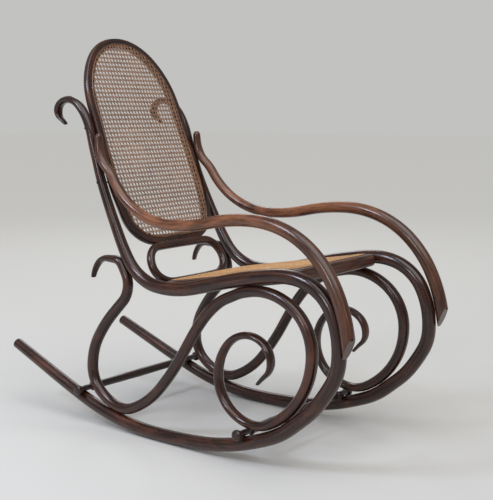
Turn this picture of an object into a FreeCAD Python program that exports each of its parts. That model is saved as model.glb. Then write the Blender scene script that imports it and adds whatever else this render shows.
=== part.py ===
import FreeCAD, Part
import math
import os
from FreeCAD import Vector

# Bentwood rocking chair with a caned seat and back.
# +Z is up and the sitter faces -Y.  Sizes are in millimetres.
# Each side is one long bent rod, a scroll rod, an armrest and the screws that join them.

os.makedirs("parts", exist_ok=True)

# ---- driving dimensions ----
SCALE = 1.0                 # size of every bend line; the rods' sections keep their own sizes
SEAT_ROD_RADIUS = 18.0      # thickest run of the long side rod
ROCKER_RADIUS = 17.5        # side rod where it rolls on the floor
STILE_RADIUS = 12.5         # side rod beside the back hoop
SCROLL_RADIUS = 14.0        # scroll rod over most of its length
ARM_RADIUS = 17.0           # armrest at its front end
ARM_TOP_RADIUS = 12.0       # armrest where it leaves the stile
HOOP_RADIUS = 15.0          # round section of the back hoop
BACK_RING_RADIUS = 11.5     # round section of the ring under the hoop
FLOOR_HALF_WIDTH = 226.0 * SCALE  # centre line of a rocker from the middle of the chair
SPLAY = 2.1                 # degrees each side leans inwards going up
TOUCH = 0.3                 # air left between two rods that meet
HOOP_HEIGHT = 596.0 * SCALE  # back hoop, centre line to centre line
BACK_LEAN = 22.0            # degrees the hoop leans back
BACK_RING_HEIGHT = 108.0 * SCALE
BACK_RING_LEAN = 28.0
SEAT_DEPTH = 490.0 * SCALE
SEAT_THICKNESS = 32.0
SEAT_RAIL = 34.0            # width of the seat frame's wood
SEAT_TILT = 10.0            # degrees the seat rises to the front
SEAT_GROOVE_EDGE = 20.0     # outer edge of the seat to the cane's groove
HOOP_GROOVE_EDGE = 3.0      # centre line of the hoop to the cane's groove
CANE_THICKNESS = 1.6
GROOVE_WIDTH = 4.0
GROOVE_DEPTH = 3.0
FLAT_DEPTH = 6.0            # wood planed off the front of the hoop to seat the cane
STRETCHER_RADIUS = 11.0
NECK_RADIUS = 8.0
KNOB_RADIUS = 14.0
SCREW_RADIUS = 2.2
HEAD_RADIUS = 4.2
HEAD_HEIGHT = 2.4
HEAD_SINK = 0.8             # top of a screw head below the wood it is driven into
SCREW_PLAY = 0.15           # air round a screw
SLOT_WIDTH = 0.9            # slot in a screw's head
SLOT_DEPTH = 1.0
SPLINE_PLAY = 0.15          # air each side of a reed spline in its groove
SPLINE_CROWN = 1.2          # spline above the wood
CANE_PLAY = 0.1             # air between the cane and its spline


# ---- bend lines ----
# A station on a rod is (y, z, heading in degrees, rod radius); heading 0 points to +Y.
# A fifth value is how many times wider than thick the rod is there; without it the rod is round.

def direction(angle):
    return Vector(0, math.cos(math.radians(angle)), math.sin(math.radians(angle)))


def place(station):
    return Vector(0, station[0], station[1])


def arc_edge(start, tangent, end):
    chord = end - start
    turn = math.atan2(tangent.cross(chord).x, tangent.dot(chord))
    if abs(turn) < 1e-4:
        return Part.makeLine(start, end)
    side = Vector(0, -chord.z, chord.y) / chord.Length
    middle = (start + end) * 0.5 - side * (chord.Length / 2 * math.tan(turn / 2))
    return Part.Arc(start, middle, end).toShape()


def bend(first, second):
    """Two arcs that leave one station and reach the next along their headings."""
    start = place(first)
    end = place(second)
    leave = direction(first[2])
    arrive = direction(second[2])
    chord = end - start
    both = leave + arrive
    spread = 2 * (1 - leave.dot(arrive))
    if spread < 1e-9:
        reach = chord.dot(chord) / (2 * chord.dot(both))
    else:
        root = math.sqrt(chord.dot(both) ** 2 + spread * chord.dot(chord))
        reach = (root - chord.dot(both)) / spread
    before = start + leave * reach
    after = end - arrive * reach
    meeting = (before + after) * 0.5
    heading = after - before
    heading.normalize()
    return [arc_edge(start, leave, meeting), arc_edge(meeting, heading, end)]


def ring_of(point, axis, radius, wide=1.0):
    """Round section, or an oval one that is wider across the chair."""
    if wide > 1.0:
        section = Part.Ellipse(point, radius * wide, radius)
        section.Axis = axis
    else:
        section = Part.Circle(point, axis, radius)
    section.XAxis = Vector(1, 0, 0)
    return Part.Wire([section.toShape()])


def one_solid(faces):
    shell = Part.makeShell(faces)
    shell.sewShape()
    solid = Part.makeSolid(shell)
    if solid.Volume < 0:
        solid.reverse()
    return solid


def section_of(station):
    return (station[3], station[4] if len(station) > 4 else 1.0)


def rod(stations):
    """A rod bent through its stations, its section changing evenly between them."""
    faces = []
    for first, second in zip(stations[:-1], stations[1:]):
        arcs = bend(first, second)
        share = arcs[0].Length / (arcs[0].Length + arcs[1].Length)
        start_size = section_of(first)
        end_size = section_of(second)
        middle_size = tuple(a + (b - a) * share for a, b in zip(start_size, end_size))
        sizes = ((start_size, middle_size), (middle_size, end_size))
        for edge, (low_size, high_size) in zip(arcs, sizes):
            low = edge.FirstParameter
            high = edge.LastParameter
            sections = [ring_of(edge.valueAt(low), edge.tangentAt(low), *low_size)]
            if low_size != high_size:
                sections.append(ring_of(edge.valueAt(high), edge.tangentAt(high), *high_size))
            faces += Part.Wire([edge]).makePipeShell(sections, False, True).Faces
    for station in (stations[0], stations[-1]):
        faces.append(Part.Face(ring_of(place(station), direction(station[2]), *section_of(station))))
    return one_solid(faces)


def beside(station, radius, turn, sideways=0.0, back=False, wide=1.0):
    """Station of a second rod that touches the first: turn is +1 for its left, -1 for its right."""
    reach = station[3] + radius + TOUCH
    reach = math.sqrt(reach * reach - sideways * sideways)
    normal = direction(station[2] + 90 * turn)
    heading = station[2] + (180 if back else 0)
    return (station[0] + normal.y * reach, station[1] + normal.z * reach, heading, radius, wide)


def scaled(stations):
    return [(station[0] * SCALE, station[1] * SCALE, *station[2:]) for station in stations]


def loop(half):
    """Closed bend line from the half on the +X side; local Y becomes X when it is stood up."""
    other = [(-x, s, 360 - heading, radius) for x, s, heading, radius in half[-2::-1]]
    stations = half + other
    edges = []
    for first, second in zip(stations[:-1], stations[1:]):
        edges += bend(first, second)
    return Part.Wire(edges)


def loop_rod(wire, radius):
    start = wire.Edges[0]
    low = start.FirstParameter
    section = ring_of(start.valueAt(low), start.tangentAt(low), radius)
    solid = wire.makePipeShell([section], True, True)
    if solid.Volume < 0:
        solid.reverse()
    return solid


def plate(outer, thickness, height, inner=None):
    """Flat board on a loop, from height to height + thickness along its normal."""
    face = Part.Face(outer)
    if inner is not None:
        face = face.cut(Part.Face(inner))
    board = face.extrude(Vector(thickness, 0, 0))
    board.translate(Vector(height, 0, 0))
    solid = board.Solids[0]
    if solid.Volume < 0:
        solid.reverse()
    return solid


# ---- putting pieces where they belong ----

def stand(shape, lean, y, z):
    """Turn a flat piece to face -Y, lean it back and set its lower middle at y, z."""
    moved = shape.copy()
    moved.rotate(Vector(0, 0, 0), Vector(0, 0, 1), -90)
    moved.rotate(Vector(0, 0, 0), Vector(1, 0, 0), -lean)
    moved.translate(Vector(0, y, z))
    return moved


def stood_point(across, along, off, lean, y, z):
    lean = math.radians(lean)
    return Vector(across,
                  y + along * math.sin(lean) - off * math.cos(lean),
                  z + along * math.cos(lean) + off * math.sin(lean))


def side_x(z):
    """Distance of the side rods' plane from the middle at height z."""
    return FLOOR_HALF_WIDTH - z * math.tan(math.radians(SPLAY))


def to_right(shape):
    """Lean a side piece inwards and set it on the sitter's right, at -X."""
    moved = shape.copy()
    moved.rotate(Vector(0, 0, 0), Vector(0, 1, 0), SPLAY)
    moved.translate(Vector(-FLOOR_HALF_WIDTH, 0, 0))
    return moved


def side_point(point):
    lean = math.radians(SPLAY)
    return Vector(point.x * math.cos(lean) + point.z * math.sin(lean) - FLOOR_HALF_WIDTH,
                  point.y,
                  point.z * math.cos(lean) - point.x * math.sin(lean))


def mirrored(shape):
    return shape.mirror(Vector(0, 0, 0), Vector(1, 0, 0))


def screw(outer, outer_radius, inner):
    """Slotted screw sunk into the rod centred at outer, its tip at inner; also the hole for it."""
    axis = inner - outer
    span = axis.Length
    axis.normalize()
    seat = outer - axis * (outer_radius - HEAD_SINK - HEAD_HEIGHT)
    length = outer_radius - HEAD_SINK - HEAD_HEIGHT + span
    shank = Part.makeCylinder(SCREW_RADIUS, length, seat, axis)
    head = Part.makeCylinder(HEAD_RADIUS, HEAD_HEIGHT, seat, axis * -1)
    slot = Part.makeBox(2 * HEAD_RADIUS + 2, SLOT_WIDTH, SLOT_DEPTH)
    slot.translate(Vector(-HEAD_RADIUS - 1, -SLOT_WIDTH / 2, HEAD_HEIGHT - SLOT_DEPTH))
    turn = FreeCAD.Rotation(Vector(0, 0, 1), axis * -1)
    slot.Placement = FreeCAD.Placement(seat, turn).multiply(slot.Placement)
    body = shank.fuse(head).removeSplitter().cut(slot)
    clear = Part.makeCylinder(SCREW_RADIUS + SCREW_PLAY, length + 0.5, seat, axis)
    pocket = Part.makeCylinder(HEAD_RADIUS + SCREW_PLAY, outer_radius, seat, axis * -1)
    hole = clear.fuse(pocket).removeSplitter()
    return body.Solids[0], (hole, seat, axis)


def drilled(shape, drill, mirror=False):
    """Cut a screw's hole; the drill is turned on its axis until its seam clears the rod's."""
    hole, seat, axis = drill
    result = None
    for turn in (0, 35, 70, 110, 150, 200, 250, 300):
        tool = hole.copy()
        tool.rotate(seat, axis, turn)
        if mirror:
            tool = mirrored(tool)
        result = shape.cut(tool)
        if result.isValid():
            break
    return result.Solids[0]


# ---- side view ----
# The long side rod runs from the curl behind the hoop, down the back, forward along the
# seat, round the front and back along the floor to the tail.

taper = STILE_RADIUS
side_line = scaled([
    (362, 832, 40, 4.0, 1.9),
    (394, 868, 90, 8.0, 1.8),
    (352, 900, 180, 10.0, 1.5),
    (280, 850, 239, taper - 0.5, 1.1),
    (240, 742, 250, taper),
    (229, 710, 251, taper + 0.3),
    (171, 579, 243, taper + 1.5),
    (111, 473, 235, taper + 3.5),
    (44, 421, 202, SEAT_ROD_RADIUS - 0.5),
    (-30, 410, 180, SEAT_ROD_RADIUS),
    (-206, 443, 165.5, SEAT_ROD_RADIUS),
    (-300, 465, 169, SEAT_ROD_RADIUS),
    (-415, 480, 180, SEAT_ROD_RADIUS),
    (-510, 450, 218, SEAT_ROD_RADIUS),
    (-563, 352, 260, SEAT_ROD_RADIUS),
    (-566, 300, 273, SEAT_ROD_RADIUS),
    (-515, 192, 307, SEAT_ROD_RADIUS),
    (-435, 117, 321, SEAT_ROD_RADIUS),
    (-303, 54, 342, ROCKER_RADIUS),
    (0, ROCKER_RADIUS, 360, ROCKER_RADIUS),
    (152, 32, 371, ROCKER_RADIUS),
    (285, 69, 379.5, ROCKER_RADIUS - 0.5),
    (575, 180, 381, ROCKER_RADIUS - 2.5),
])
ARM_TOP, HOOP_SIDE, SCROLL_TOP, RING_TOP = 4, 5, 7, 11
ARM_END, RING_FRONT, FRONT_REST, SCROLL_FOOT, REAR_REST = 14, 17, 18, 20, 21

# The scroll rod hooks over behind the back, drops in an S to the rocker, climbs to the
# seat, turns a big ring in front and ends curled up inside it.
thin = SCROLL_RADIUS
scroll_line = [
    *scaled([(246, 412, 100, 4.0, 2.2), (190, 470, 180, thin - 4.5, 1.6)]),
    beside(side_line[SCROLL_TOP], thin - 1, 1, wide=1.1),
    *scaled([(112, 402, 272, thin, 1.05), (170, 318, 314, thin + 1, 1.05), (247, 165, 270, thin + 1, 1.05)]),
    beside(side_line[SCROLL_FOOT], thin + 0.5, 1, back=True),
    *scaled([(38, 98, 145, thin + 0.5), (-52, 192, 127, thin + 0.5), (-117, 291, 122, thin + 0.5),
             (-203, 391, 143, thin + 0.5), (-262, 421, 156, thin)]),
    beside(side_line[RING_TOP], thin, 1, wide=1.05),
    *scaled([(-492, 297, 270, thin + 0.5, 1.15)]),
    beside(side_line[RING_FRONT], thin - 0.5, 1, wide=1.15),
    *scaled([(-327, 103, 360, thin - 2.5, 1.3), (-210, 215, 450, thin - 3.5, 1.5),
             (-305, 324, 540, thin - 5, 1.6), (-373, 265, 630, thin - 6, 1.8), (-333, 207, 670, 4.0, 1.8)]),
]

# The armrest leaves the stile, dips, swells and comes down in front of the side rod.
ARM_TOP_OUT = 5.0           # armrest outside the side rods' plane, at its top
ARM_END_OUT = 12.0          # and at its front end
arm_top = beside(side_line[ARM_TOP], ARM_TOP_RADIUS, -1, ARM_TOP_OUT, wide=1.15)
arm_end = beside(side_line[ARM_END], ARM_RADIUS, -1, ARM_END_OUT)


def along(station, distance, radius):
    step = direction(station[2]) * distance
    return (station[0] + step.y, station[1] + step.z, station[2], radius)


arm_line = [
    *scaled([(224, 808, 270, 6.0, 1.1), (224, 799, 270, 10.0, 1.15)]),
    arm_top,
    *scaled([(165, 686, 237, 12.5, 1.2), (-45, 577, 180, 14.5, 1.05), (-310, 607, 180, 16.0),
             (-500, 538, 222, 17.0)]),
    arm_end,
    along(arm_end, 46, ARM_RADIUS - 0.5),
]

side_rod = rod(side_line)
scroll = rod(scroll_line)
arm = rod(arm_line)

# The lower end of the armrest is sliced on its front so that it dies away along the side rod.
slice_top = place(arm_line[-2]) + direction(arm_line[-2][2] - 90) * ARM_RADIUS + Vector(0, 0, 6)
slice_foot = place(arm_line[-1]) + direction(arm_line[-1][2] + 90) * (ARM_RADIUS - 2)
slice_run = slice_foot - slice_top
slice_corners = [
    slice_top - slice_run * 0.3,
    slice_foot + slice_run * 0.3,
    slice_foot + slice_run * 0.3 + Vector(0, -120, 0),
    slice_top - slice_run * 0.3 + Vector(0, -120, 0),
]
slice_face = Part.Face(Part.makePolygon(slice_corners + [slice_corners[0]]))
slice_block = slice_face.extrude(Vector(120, 0, 0))
slice_block.translate(Vector(-60, 0, 0))
arm = arm.cut(slice_block)

# The armrest swings a little out of the side plane, round its joint with the stile.
arm_run = arm_top[0] - arm_end[0]
arm_swing = math.degrees(math.atan2(ARM_END_OUT - ARM_TOP_OUT, arm_run))
top_joint = Vector(0, arm_top[0], 0)
arm.rotate(top_joint, Vector(0, 0, 1), -arm_swing)
arm.translate(Vector(-ARM_TOP_OUT, 0, 0))
arm_end_x = -ARM_TOP_OUT - arm_run * math.sin(math.radians(arm_swing))
arm_end_y = arm_top[0] - arm_run * math.cos(math.radians(arm_swing))

side_rod = to_right(side_rod)
scroll = to_right(scroll)
arm = to_right(arm)

# ---- back hoop ----
hoop_side = side_line[HOOP_SIDE]
lean = math.radians(BACK_LEAN)
HOOP_FOOT_Y = 132.0 * SCALE
HOOP_FOOT_Z = 509.0 * SCALE
WIDEST = HOOP_HEIGHT * 0.30     # height of the hoop's widest point above its foot
behind = (hoop_side[0] - HOOP_FOOT_Y) * math.cos(lean) - (hoop_side[1] - HOOP_FOOT_Z) * math.sin(lean)
hoop_reach = HOOP_RADIUS + hoop_side[3] + TOUCH
hoop_half = side_x(hoop_side[1]) - math.sqrt(hoop_reach ** 2 - behind ** 2) - 1.0
hoop_loop = loop([
    (0, 0, 0, 0),
    (hoop_half - 96, 3, 4, 0),
    (hoop_half - 9, HOOP_HEIGHT * 0.14, 84, 0),
    (hoop_half, WIDEST, 90.5, 0),
    (hoop_half - 7, HOOP_HEIGHT * 0.58, 92.5, 0),
    (hoop_half - 10, HOOP_HEIGHT * 0.71, 96, 0),
    (0, HOOP_HEIGHT, 180, 0),
])
hoop = loop_rod(hoop_loop, HOOP_RADIUS)
hoop_face = HOOP_RADIUS - FLAT_DEPTH
planed = Part.makeBox(FLAT_DEPTH + 1, 2 * hoop_half + 80, HOOP_HEIGHT + 80)
planed.translate(Vector(hoop_face, -hoop_half - 40, -40))
hoop = hoop.cut(planed)
groove_outer = hoop_loop.makeOffset2D(-HOOP_GROOVE_EDGE)
groove_inner = hoop_loop.makeOffset2D(-HOOP_GROOVE_EDGE - GROOVE_WIDTH)
hoop = hoop.cut(plate(groove_outer, GROOVE_DEPTH + 2, hoop_face - GROOVE_DEPTH, groove_inner))
spline_outer = hoop_loop.makeOffset2D(-HOOP_GROOVE_EDGE - SPLINE_PLAY)
spline_inner = hoop_loop.makeOffset2D(-HOOP_GROOVE_EDGE - GROOVE_WIDTH + SPLINE_PLAY)
back_spline = plate(spline_outer, GROOVE_DEPTH + SPLINE_CROWN, hoop_face - GROOVE_DEPTH, spline_inner)
back_cane = plate(hoop_loop.makeOffset2D(-HOOP_GROOVE_EDGE - GROOVE_WIDTH - CANE_PLAY),
                  CANE_THICKNESS, hoop_face)
hoop = stand(hoop.Solids[0], BACK_LEAN, HOOP_FOOT_Y, HOOP_FOOT_Z)
back_spline = stand(back_spline, BACK_LEAN, HOOP_FOOT_Y, HOOP_FOOT_Z)
back_cane = stand(back_cane, BACK_LEAN, HOOP_FOOT_Y, HOOP_FOOT_Z)

# ---- ring between the hoop and the seat ----
ring_gap = HOOP_RADIUS + BACK_RING_RADIUS + TOUCH
ring_top = Vector(0, HOOP_FOOT_Y, HOOP_FOOT_Z) + direction(205) * ring_gap
ring_lean = math.radians(BACK_RING_LEAN)
RING_FOOT_Y = ring_top.y - BACK_RING_HEIGHT * math.sin(ring_lean)
RING_FOOT_Z = ring_top.z - BACK_RING_HEIGHT * math.cos(ring_lean)
RING_HALF = 147.0 * SCALE
back_ring_loop = loop([
    (0, 0, 0, 0),
    (RING_HALF - 60, 1, 2, 0),
    (RING_HALF, BACK_RING_HEIGHT * 0.5, 92, 0),
    (RING_HALF - 52, BACK_RING_HEIGHT - 1, 178, 0),
    (0, BACK_RING_HEIGHT, 180, 0),
])
back_ring = stand(loop_rod(back_ring_loop, BACK_RING_RADIUS), BACK_RING_LEAN, RING_FOOT_Y, RING_FOOT_Z)

# ---- seat ----
# The rear face of the seat frame stops just short of the ring's lower bar.
tilt = math.radians(SEAT_TILT)
SEAT_LEAN = 90 + SEAT_TILT
seat_front = side_line[12]
SEAT_TOP_Z = seat_front[1] + SEAT_ROD_RADIUS - 1.0
bar_along = SEAT_DEPTH + BACK_RING_RADIUS + TOUCH
bar_drop = (SEAT_TOP_Z - RING_FOOT_Z) * math.sin(tilt)
SEAT_FRONT_Y = RING_FOOT_Y - (bar_along - bar_drop) / math.cos(tilt)
front_half = side_x(seat_front[1]) - SEAT_ROD_RADIUS - TOUCH
rear_half = side_x(side_line[8][1]) - SEAT_ROD_RADIUS - TOUCH
seat_loop = loop([
    (0, 0, 0, 0),
    (front_half - 46, 5, 5, 0),
    (front_half, 54, 90, 0),
    (rear_half, SEAT_DEPTH - 80, 90, 0),
    (rear_half - 76, SEAT_DEPTH - 2, 176, 0),
    (0, SEAT_DEPTH, 180, 0),
])
seat_frame = plate(seat_loop, SEAT_THICKNESS, -SEAT_THICKNESS, seat_loop.makeOffset2D(-SEAT_RAIL))
rims = [edge for edge in seat_frame.Edges if abs(edge.CenterOfMass.x) > SEAT_THICKNESS - 0.01]
rims += [edge for edge in seat_frame.Edges if abs(edge.CenterOfMass.x) < 0.01]
seat_frame = seat_frame.makeFillet(4.0, rims)
seat_groove = plate(seat_loop.makeOffset2D(-SEAT_GROOVE_EDGE), GROOVE_DEPTH + 2, -GROOVE_DEPTH,
                    seat_loop.makeOffset2D(-SEAT_GROOVE_EDGE - GROOVE_WIDTH))
seat_frame = seat_frame.cut(seat_groove)
seat_spline_edge = seat_loop.makeOffset2D(-SEAT_GROOVE_EDGE - SPLINE_PLAY)
seat_spline_inner = seat_loop.makeOffset2D(-SEAT_GROOVE_EDGE - GROOVE_WIDTH + SPLINE_PLAY)
seat_spline = plate(seat_spline_edge, GROOVE_DEPTH + SPLINE_CROWN, -GROOVE_DEPTH, seat_spline_inner)
seat_cane = plate(seat_loop.makeOffset2D(-SEAT_GROOVE_EDGE - GROOVE_WIDTH - CANE_PLAY), CANE_THICKNESS, 0)
seat_frame = stand(seat_frame.Solids[0], SEAT_LEAN, SEAT_FRONT_Y, SEAT_TOP_Z)
seat_spline = stand(seat_spline, SEAT_LEAN, SEAT_FRONT_Y, SEAT_TOP_Z)
seat_cane = stand(seat_cane, SEAT_LEAN, SEAT_FRONT_Y, SEAT_TOP_Z)

# ---- stretchers ----
# A turned bar lies on top of both rockers; its ends narrow over them and finish in knobs.

def stretcher(rest):
    centre = place(rest) + direction(rest[2] + 90) * (rest[3] + NECK_RADIUS + TOUCH)
    rest_x = side_x(centre.z)
    inside = rest_x - ROCKER_RADIUS - 4
    outside = rest_x + ROCKER_RADIUS + 2
    end = outside + 17
    half = [(0, STRETCHER_RADIUS + 1), (inside - 12, STRETCHER_RADIUS - 0.5),
            (inside - 8, STRETCHER_RADIUS + 1.5), (inside - 4, STRETCHER_RADIUS + 1.5),
            (inside, NECK_RADIUS), (outside, NECK_RADIUS),
            (outside + 3, KNOB_RADIUS - 1), (outside + 6, KNOB_RADIUS), (outside + 11, KNOB_RADIUS),
            (end - 2, KNOB_RADIUS - 3), (end, KNOB_RADIUS - 7)]
    profile = [Vector(x, 0, r) for x, r in half]
    profile += [Vector(-x, 0, r) for x, r in half[:0:-1]]
    profile = [Vector(-end, 0, 0)] + profile[len(half):] + profile[:len(half)] + [Vector(end, 0, 0)]
    outline = Part.makePolygon(profile + [profile[0]])
    turned = Part.Face(outline).revolve(Vector(0, 0, 0), Vector(1, 0, 0), 360)
    turned.translate(centre)
    return turned.Solids[0], centre, rest_x


front_stretcher, front_centre, front_x = stretcher(side_line[FRONT_REST])
rear_stretcher, rear_centre, rear_x = stretcher(side_line[REAR_REST])

# ---- screws ----
# Each screw goes through one rod into its neighbour; its hole is cut in both.
arm_screws = []
scroll_screws = []
hoop_screws = []
back_ring_screws = []
seat_screws = []
stretcher_screws = []


def side_centre(station, x=0.0):
    return side_point(Vector(x, station[0], station[1]))


body, hole = screw(side_centre(arm_top, -ARM_TOP_OUT), ARM_TOP_RADIUS, side_centre(side_line[ARM_TOP]))
arm_screws.append(body)
arm = drilled(arm, hole)
side_rod = drilled(side_rod, hole)
end_point = side_point(Vector(arm_end_x, arm_end_y, arm_end[1]))
body, hole = screw(end_point, ARM_RADIUS, side_centre(side_line[ARM_END]))
arm_screws.append(body)
arm = drilled(arm, hole)
side_rod = drilled(side_rod, hole)

for scroll_index, side_index in ((2, SCROLL_TOP), (6, SCROLL_FOOT), (12, RING_TOP), (14, RING_FRONT)):
    station = scroll_line[scroll_index]
    body, hole = screw(side_centre(station), station[3], side_centre(side_line[side_index]))
    scroll_screws.append(body)
    scroll = drilled(scroll, hole)
    side_rod = drilled(side_rod, hole)

# The hoop's screws start behind the side rods; one pair at its widest point, one pair higher up.
for along_hoop in (WIDEST, HOOP_HEIGHT * 0.6):
    where = stood_point(0, along_hoop, 0, BACK_LEAN, HOOP_FOOT_Y, HOOP_FOOT_Z)
    cutter = Part.makeBox(600, 0.2, 400, Vector(-600, -0.1, -200))
    cutter.rotate(Vector(0, 0, 0), Vector(1, 0, 0), 90 - BACK_LEAN)
    cutter.translate(where)
    hoop_middle = hoop.common(cutter)
    rod_middle = side_rod.common(cutter)
    hoop_box = [s for s in hoop_middle.Solids if s.CenterOfMass.x < 0][0].BoundBox
    rod_box = rod_middle.Solids[0].BoundBox
    hoop_point = stood_point(hoop_box.XMin + HOOP_RADIUS, along_hoop, 0, BACK_LEAN, HOOP_FOOT_Y, HOOP_FOOT_Z)
    body, hole = screw(rod_box.Center, STILE_RADIUS, hoop_point)
    hoop_screws.append(body)
    hoop = drilled(hoop, hole)
    hoop = drilled(hoop, hole, True)
    side_rod = drilled(side_rod, hole)

for x in (-45, 45):
    ring_point = Vector(x, ring_top.y, ring_top.z)
    hoop_point = Vector(x, HOOP_FOOT_Y, HOOP_FOOT_Z + 0.5)
    body, hole = screw(ring_point, BACK_RING_RADIUS, hoop_point)
    back_ring_screws.append(body)
    back_ring = drilled(back_ring, hole)
    hoop = drilled(hoop, hole)
    foot_point = Vector(x, RING_FOOT_Y, RING_FOOT_Z)
    rail_point = Vector(x, RING_FOOT_Y - 24, RING_FOOT_Z + 24 * math.sin(tilt))
    body, hole = screw(foot_point, BACK_RING_RADIUS, rail_point)
    back_ring_screws.append(body)
    back_ring = drilled(back_ring, hole)
    seat_frame = drilled(seat_frame, hole)

for index in (9, 10):
    station = side_line[index]
    rod_point = side_centre(station)
    rail_point = rod_point + Vector(30, 0, 0)
    body, hole = screw(rod_point, station[3], rail_point)
    seat_screws.append(body)
    side_rod = drilled(side_rod, hole)
    seat_frame = drilled(seat_frame, hole)
    seat_frame = drilled(seat_frame, hole, True)

bars = []
for bar, centre, rest_x, index in ((front_stretcher, front_centre, front_x, FRONT_REST),
                                   (rear_stretcher, rear_centre, rear_x, REAR_REST)):
    rest = side_centre(side_line[index])
    body, hole = screw(Vector(rest.x, centre.y, centre.z), NECK_RADIUS, rest)
    stretcher_screws.append(body)
    bars.append(drilled(drilled(bar, hole), hole, True))
    side_rod = drilled(side_rod, hole)

# ---- every piece by name ----
pieces = {
    "side_rod_right": side_rod,
    "side_rod_left": mirrored(side_rod),
    "scroll_right": scroll,
    "scroll_left": mirrored(scroll),
    "armrest_right": arm,
    "armrest_left": mirrored(arm),
    "back_hoop": hoop,
    "back_cane": back_cane,
    "back_cane_spline": back_spline,
    "back_ring": back_ring,
    "seat_frame": seat_frame,
    "seat_cane": seat_cane,
    "seat_cane_spline": seat_spline,
    "front_stretcher": bars[0],
    "rear_stretcher": bars[1],
    "arm_screws": Part.makeCompound(arm_screws + [mirrored(s) for s in arm_screws]),
    "scroll_screws": Part.makeCompound(scroll_screws + [mirrored(s) for s in scroll_screws]),
    "hoop_screws": Part.makeCompound(hoop_screws + [mirrored(s) for s in hoop_screws]),
    "back_ring_screws": Part.makeCompound(back_ring_screws),
    "seat_screws": Part.makeCompound(seat_screws + [mirrored(s) for s in seat_screws]),
    "stretcher_screws": Part.makeCompound(stretcher_screws + [mirrored(s) for s in stretcher_screws]),
}

# The origin is on the floor under the middle of the chair's length and width.
whole = Part.makeCompound(list(pieces.values())).optimalBoundingBox(False)
shift = Vector(0, -(whole.YMin + whole.YMax) / 2, -whole.ZMin)
for name, shape in pieces.items():
    if shape.ShapeType == "Compound" and len(shape.Solids) == 1:
        shape = shape.Solids[0]
    placed = shape.copy()
    placed.translate(shift)
    placed.exportStep("parts/" + name + ".step")
    print(name, placed.isValid(), len(placed.Solids), round(placed.Volume / 1000, 2), "cm3")
print("size", round(whole.XLength, 1), round(whole.YLength, 1), round(whole.ZLength, 1))
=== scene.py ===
import math

import bmesh
import bpy
from mathutils import Matrix, Vector


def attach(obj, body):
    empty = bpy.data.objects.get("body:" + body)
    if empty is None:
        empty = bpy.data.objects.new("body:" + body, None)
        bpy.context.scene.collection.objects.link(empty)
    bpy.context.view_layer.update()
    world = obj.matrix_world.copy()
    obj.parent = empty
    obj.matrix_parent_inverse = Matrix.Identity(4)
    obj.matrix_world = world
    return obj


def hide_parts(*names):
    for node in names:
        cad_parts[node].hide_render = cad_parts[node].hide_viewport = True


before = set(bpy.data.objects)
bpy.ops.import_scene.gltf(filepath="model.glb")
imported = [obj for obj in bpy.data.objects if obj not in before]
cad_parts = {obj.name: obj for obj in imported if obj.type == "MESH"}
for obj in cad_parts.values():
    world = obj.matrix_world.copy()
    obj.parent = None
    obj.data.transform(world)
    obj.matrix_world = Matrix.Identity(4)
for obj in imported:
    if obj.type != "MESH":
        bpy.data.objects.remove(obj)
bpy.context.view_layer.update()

# ---- camera ----
# An ordinary lens at sitting height, off the chair's front right corner.
camera_data = bpy.data.cameras.new("camera")
camera_data.lens = 72.0
camera_data.sensor_width = 36.0
camera = bpy.data.objects.new("camera", camera_data)
bpy.context.scene.collection.objects.link(camera)
camera.location = (-2.094, -1.766, 0.867)
camera.rotation_euler = (math.radians(82.10), 0, math.radians(-51.684))
bpy.context.scene.camera = camera


# ---- the sides: bentwood rods ----
# Steamed beech rods bent on iron forms, stained a near-black walnut and French polished.
# One long rod is the stile, the seat side, the front bend, the rocker and the tail.
# A thinner one makes the scroll, and the armrest is a third; all are screwed side by side.

def srgb(code):
    """A hex colour as the linear values that a shader takes."""
    parts = [int(code[i:i + 2], 16) / 255 for i in (1, 3, 5)]
    linear = [p / 12.92 if p <= 0.04045 else ((p + 0.055) / 1.055) ** 2.4 for p in parts]
    return (*linear, 1.0)


def add_node(tree, kind, settings=None, inputs=None, stops=()):
    """A node with its settings and links; stops are the places and colours of a colour ramp."""
    node = tree.nodes.new(kind)
    for name, value in (settings or {}).items():
        setattr(node, name, value)
    for name, value in (inputs or {}).items():
        if isinstance(value, bpy.types.NodeSocket):
            tree.links.new(value, node.inputs[name])
        else:
            node.inputs[name].default_value = value
    while stops and len(node.color_ramp.elements) < len(stops):
        node.color_ramp.elements.new(0.5)
    for index, (place, colour) in enumerate(stops):
        point = node.color_ramp.elements[index]
        point.position = place
        point.color = srgb(colour) if isinstance(colour, str) else (colour, colour, colour, 1)
    return node


def new_material(name):
    material = bpy.data.materials.new(name)
    material.use_nodes = True
    tree = material.node_tree
    tree.nodes.clear()
    shader = add_node(tree, "ShaderNodeBsdfPrincipled")
    add_node(tree, "ShaderNodeOutputMaterial", inputs={"Surface": shader.outputs["BSDF"]})
    return material, tree, shader


def streaks_along(tree, grain, stretch, detail, rough, swirl=0.0):
    """Uneven streaks drawn out along the fibre; stretch is how many of them lie in a metre, each way."""
    drawn = add_node(tree, "ShaderNodeMapping", inputs={"Vector": grain, "Scale": stretch})
    return add_node(tree, "ShaderNodeTexNoise", inputs={
        "Vector": drawn.outputs["Vector"], "Scale": 1.0, "Detail": detail, "Roughness": rough,
        "Distortion": swirl}).outputs["Fac"]


def grain_of(tree, turned):
    """Metres across and along the fibre: stored on a bent rod, the X axis on a turned bar."""
    if not turned:
        return add_node(tree, "ShaderNodeAttribute", {"attribute_name": "grain"}).outputs["Vector"]
    spot = add_node(tree, "ShaderNodeTexCoord").outputs["Object"]
    part = add_node(tree, "ShaderNodeSeparateXYZ", inputs={0: spot}).outputs
    turned_round = add_node(tree, "ShaderNodeCombineXYZ", inputs={
        "X": part["Y"], "Y": part["Z"], "Z": part["X"]})
    return turned_round.outputs[0]


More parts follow.
